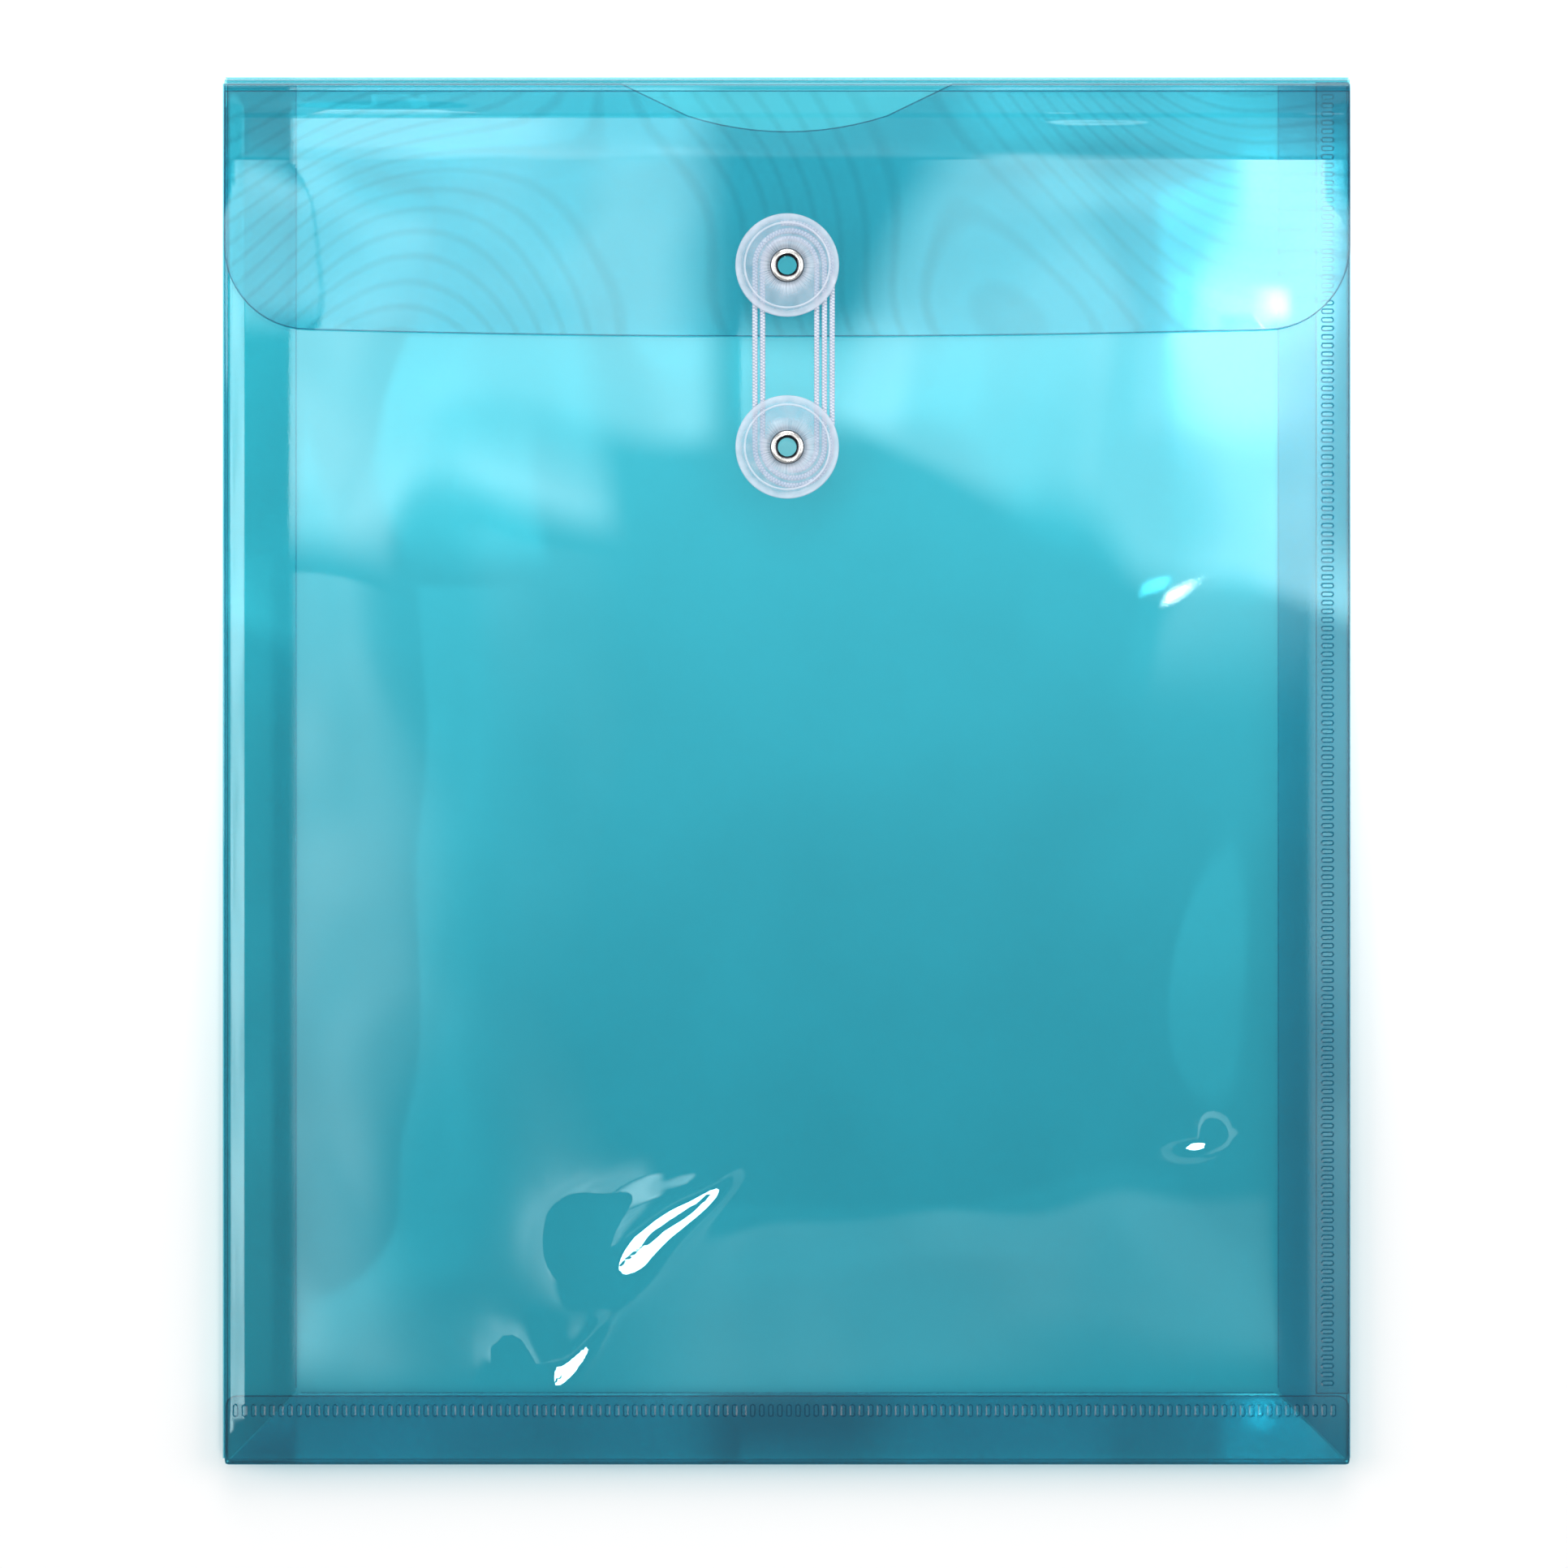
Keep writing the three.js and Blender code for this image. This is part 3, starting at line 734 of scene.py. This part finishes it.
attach(film_sheet("back_panel", back_wave), "back")
front_sheet = film_sheet("front_panel", front_wave, columns=roll_columns, creases=FRONT_CREASES)
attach(front_sheet, "front")
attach(film_sheet("side_seam_tab", no_wave), "front")
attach(film_sheet("bottom_seam_tab", no_wave), "front")
flap_heights = height_profile("flap_panel", FLAP_COLUMN)
flap_rows = [*score_rows, *pinch_rows]
flap_sheet = film_sheet("flap_panel", flap_wave, flap_heights, flap_rows, clear=film_contours)
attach(flap_sheet, "flap")


# Rounded bends where the film is folded, in mm
HINGE_OFFSET = 0.04
MITRE = 0.3
CREASE_MITRE = 1.2
LIP_LENGTH = 5
TAB_FOLD = 0.1
BLEND_INSET = 0.15
BEND_STEPS = 10


def bend_shell(name, centre, side, along, low, high, under, over):
    """A half-round shell from one ply to the other round a fold, low to high along X or Y."""
    mid, half = (under + over) / 2, (over - under) / 2
    outward = range(BEND_STEPS + 1)
    ring = []
    for radius, turns in ((half, outward), (half - FILM, reversed(outward))):
        for i in turns:
            angle = math.pi * (i / BEND_STEPS - 0.5)
            ring.append((side * radius * math.cos(angle), mid + radius * math.sin(angle)))
    verts = []
    for at in (low, high):
        for out, z in ring:
            verts.append((centre + out, at, z) if along == "y" else (at, centre + out, z))
    count = len(ring)
    faces = [tuple(range(count)), tuple(range(2 * count - 1, count - 1, -1))]
    for i in range(count):
        j = (i + 1) % count
        faces.append((i, i + count, j + count, j))
    # The bend wears painted shade, a deeper tint for the dark look of the fold
    piece = make_piece(name, verts, faces, [film_fold_shade])
    mesh = bmesh.new()
    mesh.from_mesh(piece.data)
    bmesh.ops.recalc_face_normals(mesh, faces=mesh.faces)
    mesh.to_mesh(piece.data)
    mesh.free()
    return piece


joint_mm = {
    joint["name"]: np.array(joint.get("pos_m", (0, 0, 0))) / MM
    for joint in frame["record"]["behaviour"]["joints"]
}
ply = HINGE_OFFSET + FILM
front_edge_y = box_mm("front_panel")[1][1]
tab_top = box_mm("side_seam_tab")[1][2]
crease_low = joint_mm["bottom_crease"][1] + CREASE_MITRE
crease_half = joint_mm["right_crease"][0] - CREASE_MITRE
fold_low = -half_height + MITRE
fold_half = half_width - MITRE

for side, names in (
    (-1, ("left_rear_edge", "pocket_expand", "left")),
    (1, ("right_rear_edge", "right_crease", "right")),
):
    rear, crease, word = names
    edge, fold = joint_mm[rear], joint_mm[crease]
    bends = [
        (f"{word}_rear_bend", edge[0], side, fold_low, half_height - LIP_LENGTH,
         0.0, edge[2] - HINGE_OFFSET, "back", f"{word}_rear_fold"),
        (f"{word}_crease_bend", fold[0], -side, crease_low, front_edge_y,
         fold[2] - ply, fold[2] + ply, f"{word}_rear_fold", f"{word}_front_fold"),
    ]
    if side < 0:
        over = joint_mm["front_left_edge"]
        bends.append(
            (f"{word}_front_bend", over[0], side, fold_low, front_edge_y,
             over[2] + HINGE_OFFSET, front_top, f"{word}_front_fold", "front")
        )
    for name, centre, out, low, high, under, over, body, onward in bends:
        bend = bend_shell(name, centre, out, "y", low, high, under, over)
        at = (centre * MM, 0.0)
        start, end = (*at, (under + BLEND_INSET) * MM), (*at, (over - BLEND_INSET) * MM)
        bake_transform(bend)
        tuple(start)
        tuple(end)

edge, fold = joint_mm["bottom_rear_edge"], joint_mm["bottom_crease"]
for name, centre, out, reach, under, over, body, onward in (
    ("bottom_rear_bend", edge[1], -1, fold_half, 0.0, edge[2] - HINGE_OFFSET,
     "back", "bottom_rear_fold"),
    ("bottom_crease_bend", fold[1], 1, crease_half, fold[2] - ply, fold[2] + ply,
     "bottom_rear_fold", "bottom_front_fold"),
):
    bend = bend_shell(name, centre, out, "x", -reach, reach, under, over)
    at = (0.0, centre * MM)
    start, end = (*at, (under + BLEND_INSET) * MM), (*at, (over - BLEND_INSET) * MM)
    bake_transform(bend)
    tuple(start)
    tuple(end)

under = joint_mm["front_left_edge"][2] + HINGE_OFFSET
for name, centre, out, along, low, high in (
    ("right_front_bend", half_width - TAB_FOLD, 1, "y", fold_low, front_edge_y),
    ("bottom_front_bend", TAB_FOLD - half_height, -1, "x", -fold_half, fold_half),
):
    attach(bend_shell(name, centre, out, along, low, high, under, tab_top), "front")


def arc(centre, radius, start, end, steps):
    turns = [start + (end - start) * i / steps for i in range(steps + 1)]
    return [(centre[0] + radius * math.cos(t), centre[1] + radius * math.sin(t)) for t in turns]


# Buttons, in mm: radii of the eyelet's tube, bore and rolls, and of the disc's hole
TUBE = 2.75
BORE = 2.05
EYELET = 3.75
CLENCH = 3.6
HOLE = 2.9

# Heights over the film: the dish's floor, the rim's underside and the rim's top
DISH = 1.7
UNDER = 1.85
HIGH = 2.75

# Heights of the two rolls, thickness of the backing washer, and the gap between parts
ROLL_HEIGHT = 0.8
CLENCH_HEIGHT = 0.47
WASHER = 0.4
GAP = 0.08

# Steps round a roll, how many have painted shade at its outer and inner side, and a turned piece's
# detail
ROLL_STEPS = 18
DARK_OUTER = 4
DARK_INNER = 7
LATHE_SIDES = 128
SHARP_TURNED = 50


def lathe(name, profile, centre, materials, shades=None):
    """A closed profile of (radius, height) turned round a button's axis, shaded by its steps."""
    cx, cy, cz = centre
    verts = []
    for i in range(LATHE_SIDES):
        angle = 2 * math.pi * i / LATHE_SIDES
        verts += [(cx + r * math.cos(angle), cy + r * math.sin(angle), cz + z) for r, z in profile]
    count = len(profile)
    faces, kinds = [], []
    for i in range(LATHE_SIDES):
        here, there = i * count, (i + 1) % LATHE_SIDES * count
        for j in range(count):
            k = (j + 1) % count
            faces.append((here + j, there + j, there + k, here + k))
            kinds.append(shades[j] if shades else 0)
    piece = make_piece(name, verts, faces, materials, kinds)
    piece.data.set_sharp_from_angle(angle=math.radians(SHARP_TURNED))
    return piece


def disc_profile():
    """The foot on the film, out under the rim, round it, and down into the dish to the hole."""
    rim = 0.35
    r = disc_radius
    return [
        (HOLE, 0.1),
        (4.1, 0.1),
        (4.35, UNDER - 0.4),
        (4.7, UNDER - 0.2),
        (5.8, UNDER - 0.05),
        (r - 1.8, UNDER),
        (r - rim, UNDER - 0.1),
        *arc((r - rim, UNDER + rim - 0.1), rim, -0.4 * math.pi, 0.5 * math.pi, 12),
        (r - 0.9, UNDER + 0.62),
        (r - 1.8, HIGH - 0.15),
        *arc((r - 2.05, HIGH - 0.14), 0.16, 0.25 * math.pi, 0.75 * math.pi, 6),
        (r - 2.4, HIGH - 0.06),
        (r - 4.8, HIGH - 0.08),
        (r - 5.3, HIGH - 0.15),
        (r - 5.8, HIGH - 0.28),
        (r - 6.3, HIGH - 0.45),
        (r - 6.8, HIGH - 0.65),
        (r - 7.2, HIGH - 0.88),
        (EYELET + 0.2, DISH),
        (HOLE, DISH),
    ]


def eyelet_profile():
    """The tube's outside, the roll on the dish, and the clenched roll under the washer."""
    rim_under = DISH + GAP
    clench_over = -FILM - GAP - WASHER - GAP
    profile = [(TUBE, clench_over), (TUBE, rim_under)]
    for outer, z, height, start in (
        (EYELET, rim_under, ROLL_HEIGHT, 0.0),
        (CLENCH, clench_over, CLENCH_HEIGHT, math.pi),
    ):
        mid, half = (outer + BORE) / 2, (outer - BORE) / 2
        roll = arc((0, 0), 1, start, start + math.pi, ROLL_STEPS)
        profile += [(mid + half * c, z + height * s) for c, s in roll]
    return profile


def eyelet_shades():
    """The plate is bright (0) on top of the roll, and painted shade (1) in the bore and everywhere
    else.
    """
    bright = ROLL_STEPS - DARK_OUTER - DARK_INNER
    before = 2 + DARK_OUTER
    after = DARK_INNER + ROLL_STEPS + 2
    return [1] * before + [0] * bright + [1] * after


for word, y, z, body, carrier, material in (
    ("upper", upper_y, flap_top, "upper_disc", "flap", frost_and_highlight_upper),
    ("lower", lower_y, front_top, "lower_disc", "front", frost_and_highlight),
):
    centre = (0.0, y, z)
    disc = lathe(f"{word}_disc", disc_profile(), centre, [material])
    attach(disc, body)
    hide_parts(f"{word}_button_disc")
    plates = [nickel, nickel_painted_shade]
    rolled = lathe(
        f"{word}_rolled_eyelet", eyelet_profile(), centre, plates, eyelet_shades()
    )
    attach(rolled, carrier)
    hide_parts(f"{word}_eyelet")


# String, in mm: three turns round the two posts, under both discs, a little above the film
CORD = 1.22
CORD_PITCH = 1.7
CORD_LIFT = 0.4
TURNS = 3
LEFT_RUN = 5.4
RIGHT_RUN = 6.5
FLAP_CLEAR = 1.5
TURN_STEPS = 40
LAST_TURN = math.radians(95)
TAIL_TURN = math.radians(10)

# Its braid: length of a strand's turn, spacing of the rings, and how much the strands stand out
STRAND_LENGTH = 1.4
RING_STEP = 0.14
CORD_SIDES = 20
STRANDS = 3
STRAND_MEAN = 0.9
STRAND_SWELL = 0.13
SOFTENING = 24


def string_route():
    """From the tail behind the lower disc, round both posts, to the end beside the upper one."""
    low_z = front_top + CORD_LIFT + CORD / 2
    high_z = flap_top + CORD_LIFT + CORD / 2
    climb_start = lower_y + disc_radius + CORD / 2
    climb_end = box_mm("flap_panel")[0][1] + FLAP_CLEAR - CORD

    def left(turn):
        return -LEFT_RUN - turn * CORD_PITCH

    def right(turn):
        return RIGHT_RUN + turn * CORD_PITCH

    def half_turn(from_x, to_x, y, z, start, end):
        centre = ((from_x + to_x) / 2, y)
        radius = abs(to_x - from_x) / 2
        return [(x, py, z) for x, py in arc(centre, radius, start, end, TURN_STEPS)]

    def climb(x):
        return [(x, climb_start, low_z), (x, climb_end, high_z)]

    route = []
    for turn in range(TURNS):
        last = turn == TURNS - 1
        start = math.pi if turn else 1.5 * math.pi
        route += half_turn(left(turn - 1), right(turn), lower_y, low_z, start, 2 * math.pi)
        route += climb(right(turn))
        end = LAST_TURN if last else math.pi
        route += half_turn(right(turn), left(turn), upper_y, high_z, 0, end)
        if not last:
            route += climb(left(turn))[::-1]
    x, y, z = route[0]
    start = (x - CORD * math.cos(TAIL_TURN), y + CORD * math.sin(TAIL_TURN), z)
    x, y, z = route[-1]
    bx, by, _ = route[-2]
    reach = CORD / math.hypot(x - bx, y - by)
    finish = (x + (x - bx) * reach, y + (y - by) * reach, z)
    return np.array([start, *route, finish])


def even_steps(route, step):
    """Points at an even spacing along a route, with its corners softened."""
    lengths = np.linalg.norm(np.diff(route, axis=0), axis=1)
    at = np.concatenate([[0], np.cumsum(lengths)])
    wanted = np.linspace(0, at[-1], int(at[-1] / step))
    even = np.stack([np.interp(wanted, at, route[:, k]) for k in range(3)], 1)
    for _ in range(SOFTENING):
        even[1:-1] = (even[:-2] + 2 * even[1:-1] + even[2:]) / 4
    return even


def braided_string(name):
    """A tube along the route, swollen where strands of either direction pass over."""
    route = even_steps(string_route(), RING_STEP)
    ahead = np.gradient(route, axis=0)
    ahead /= np.linalg.norm(ahead, axis=1)[:, None]
    across = np.cross(ahead, (0, 0, 1))
    across /= np.linalg.norm(across, axis=1)[:, None]
    over = np.cross(across, ahead)
    verts = []
    for i, place in enumerate(route):
        phase = 4 * math.pi * i * RING_STEP / STRAND_LENGTH
        for side in range(CORD_SIDES):
            angle = 2 * math.pi * side / CORD_SIDES
            swell = max(math.cos(STRANDS * angle + phase), math.cos(STRANDS * angle - phase))
            radius = CORD / 2 * (STRAND_MEAN + STRAND_SWELL * swell)
            verts.append(place + radius * (math.cos(angle) * across[i] + math.sin(angle) * over[i]))
    faces = []
    for ring in range(len(route) - 1):
        for side in range(CORD_SIDES):
            a = ring * CORD_SIDES + side
            b = ring * CORD_SIDES + (side + 1) % CORD_SIDES
            faces.append((a, b, b + CORD_SIDES, a + CORD_SIDES))
    last = (len(route) - 1) * CORD_SIDES
    faces.append(tuple(reversed(range(CORD_SIDES))))
    faces.append(tuple(range(last, last + CORD_SIDES)))
    return make_piece(name, verts, faces, [cord])


string = braided_string("braided_string")
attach(string, "front")
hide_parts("string")
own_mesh(string)

# Floor, just under the envelope, in metres
FLOOR_HALF = 3.0
FLOOR_LEVEL = -0.05 * MM
corners = [(-1, -1), (1, -1), (1, 1), (-1, 1)]
floor_verts = [(x * FLOOR_HALF, y * FLOOR_HALF, FLOOR_LEVEL) for x, y in corners]
floor_mesh = bpy.data.meshes.new("floor")
floor_mesh.from_pydata(floor_verts, [], [(0, 1, 2, 3)])
floor_mesh.materials.append(floor_material("floor"))
floor = bpy.data.objects.new("floor", floor_mesh)
bpy.context.scene.collection.objects.link(floor)

# Panes overhead, which the envelope mirrors: span across and along in metres, turn in degrees,
# radiance, soft widths of the left, right, low and high sides, and the drop below the ceiling
WINDOW_PANES = {
    "left_pane": ((-0.212, -0.085), (0.088, 0.46), 0, 2.9, (0.001, 0.03, 0.025, 0.05), 0.0),
    "inner_pane": ((-0.115, -0.02), (0.134, 0.46), 0, 2.4, (0.03, 0.03, 0.02, 0.05), -0.004),
    "corner_pane": ((-0.34, -0.212), (0.185, 0.275), 0, 2.9, (0.02, 0.001, 0.02, 0.02), 0.0),
    "middle_pane": ((-0.02, 0.075), (0.138, 0.205), 0, 2.0, (0.001, 0.02, 0.02, 0.03), 0.0),
    "right_pane": ((0.035, 0.335), (0.09, 0.31), -22, 2.4, (0.03, 0.03, 0.015, 0.03), 0.002),
    "side_pane": ((0.18, 0.236), (0.015, 0.28), -4, 3.2, (0.012, 0.012, 0.17, 0.02), 0.008),
    "veil_pane": ((-0.212, -0.09), (-0.27, 0.088), 0, 1.7, (0.005, 0.11, 0.03, 0.001), 0.0),
    "low_pane": ((-0.1, 0.212), (-0.268, -0.185), 4, 0.5, (0.08, 0.005, 0.02, 0.01), 0.0),
    "edge_pane": ((-0.6, -0.38), (-0.34, 0.34), 0, 4.0, (0.03, 0.03, 0.05, 0.05), 0.0),
    "sill_pane": ((-0.3, 0.3), (0.31, 0.62), 0, 0.6, (0.02, 0.02, 0.02, 0.02), -0.01),
    "strip_pane": ((0.222, 0.26), (-0.3, 0.12), 0, 1.3, (0.004, 0.004, 0.1, 0.05), 0.0),
    "upper_spot": ((0.194, 0.214), (0.19, 0.21), 0, 9.0, (0.009, 0.009, 0.009, 0.009), 0.016),
    "lower_spot": ((0.177, 0.184), (0.084, 0.09), 0, 25.0, (0.002, 0.002, 0.002, 0.002), 0.016),
}

# Brighter and darker patches in the panes, like clouds behind a window
PATCH_SCALE = 12.0
PATCH_SPAN = (0.35, 0.65)
PATCH_SHADES = (0.74, 1.2)

# The small lamp that the creases mirror, and its radiance
GLINT_SIZE = 0.2
GLINT_RADIANCE = 32.0

# Walls of light round the scene, in metres, with their radiance and that of the sky
WALL_PLACES = {"left": (-1.5, 0.3), "right": (1.5, 0.3), "far": (0.0, 1.7)}
WALL_SIZE = 1.3
WALL_HEIGHT = 1.1
WALL_RADIANCE = 3.1
SKY_RADIANCE = 0.35


def area_light(name, place, width, height, radiance):
    """A rectangular softbox of a given radiance, facing down."""
    lamp = bpy.data.lights.new(name, "AREA")
    lamp.shape = "RECTANGLE"
    lamp.size = width
    lamp.size_y = height
    lamp.energy = radiance * math.pi * width * height
    light = bpy.data.objects.new(name, lamp)
    light.location = place
    bpy.context.scene.collection.objects.link(light)
    return light


def aim(light, target):
    away = Vector(target) - light.location
    light.rotation_euler = away.to_track_quat("-Z", "Y").to_euler()


def window_pane(name, x_span, y_span, turn, radiance, fades, drop):
    """A pane overhead with soft sides and uneven brightness."""
    width, depth = x_span[1] - x_span[0], y_span[1] - y_span[0]
    centre = (sum(x_span) / 2, sum(y_span) / 2, CEILING - drop)
    angle = math.radians(turn)
    light = area_light(name, centre, width, depth, radiance)
    light.rotation_euler = (0.0, 0.0, angle)
    lamp = light.data
    lamp.use_nodes = True
    lamp.node_tree.nodes.clear()
    tree = Tree(lamp.node_tree)
    place = tree.add("ShaderNodeNewGeometry").outputs["Position"]
    away = tree.vector("SUBTRACT", place, centre)[0]
    strength = tree.ramp(tree.noise(PATCH_SCALE, 1.0, place), *PATCH_SPAN, *PATCH_SHADES, True)
    for axis, half, low, high in (
        ((math.cos(angle), math.sin(angle), 0.0), width / 2, *fades[:2]),
        ((-math.sin(angle), math.cos(angle), 0.0), depth / 2, *fades[2:]),
    ):
        reach = tree.vector("DOT_PRODUCT", away, axis)["Value"]
        for side, fade in ((-half, low - half), (half, half - high)):
            share = tree.ramp(reach, side, fade, 0.0, 1.0, True)
            strength = tree.math("MULTIPLY", share, strength)
    emission = tree.add("ShaderNodeEmission", {"Color": rgba(WHITE), "Strength": strength})
    tree.add("ShaderNodeOutputLight", {"Surface": emission.outputs[0]})


for name, pane in WINDOW_PANES.items():
    window_pane(name, *pane)
area_light("glint_lamp", (*GLINT_LAMP, CEILING), GLINT_SIZE, GLINT_SIZE, GLINT_RADIANCE)
for word, place in WALL_PLACES.items():
    wall = area_light(f"{word}_wall", (*place, WALL_HEIGHT), WALL_SIZE, WALL_SIZE, WALL_RADIANCE)
    aim(wall, (0.0, 0.0, 0.0))

world = bpy.data.worlds.new("world")
world.use_nodes = True
world.node_tree.nodes.clear()
sky = Tree(world.node_tree)
background = sky.add("ShaderNodeBackground", {"Color": rgba(WHITE), "Strength": SKY_RADIANCE})
sky.add("ShaderNodeOutputWorld", {"Surface": background.outputs[0]})

camera_data = bpy.data.cameras.new("camera")
camera_data.type = "PERSP"
camera_data.lens = LENS
camera = bpy.data.objects.new("camera", camera_data)
camera.location = (*CAMERA_OFFSET, CAMERA_HEIGHT)
bpy.context.scene.collection.objects.link(camera)

# Scene settings: light passes through many plies of film
scene = bpy.context.scene
scene.world = world
scene.camera = camera
scene.view_settings.view_transform = "Standard"
scene.cycles.max_bounces = 10
scene.cycles.diffuse_bounces = 2
scene.cycles.glossy_bounces = 4
scene.cycles.transparent_max_bounces = 40
